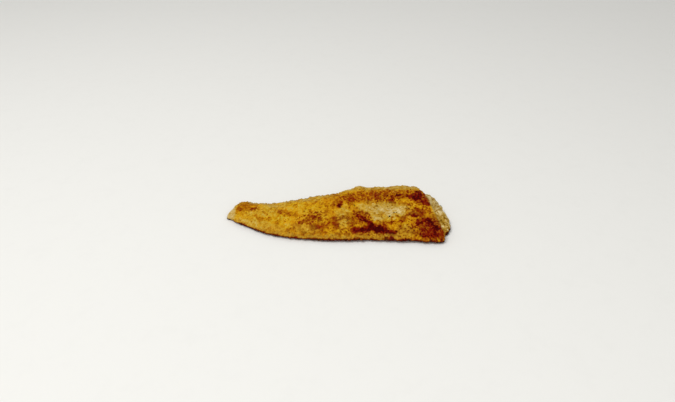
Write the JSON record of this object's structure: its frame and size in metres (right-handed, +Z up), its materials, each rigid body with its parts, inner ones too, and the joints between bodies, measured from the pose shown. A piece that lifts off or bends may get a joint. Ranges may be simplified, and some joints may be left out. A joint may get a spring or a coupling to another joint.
{
  "type": "fried fish fillet",
  "caption": "Pan-fried fish fillet, thick along its back and thin along its belly, with a browned crust and a pale fold of flesh at its wide end; lies flat.",
  "frame": {"origin": "middle of the bounding box, on the surface that the fillet lies on", "axes": "+Z up, +X along the fillet towards its wide head end, +Y towards its thick back"},
  "size_m": [0.2314, 0.0882, 0.0196],
  "materials": {
    "crust": "golden-brown fried crust, a little oily"
  },
  "bodies": {
    "root": {"fillet": "crust"}
  },
  "joints": []
}
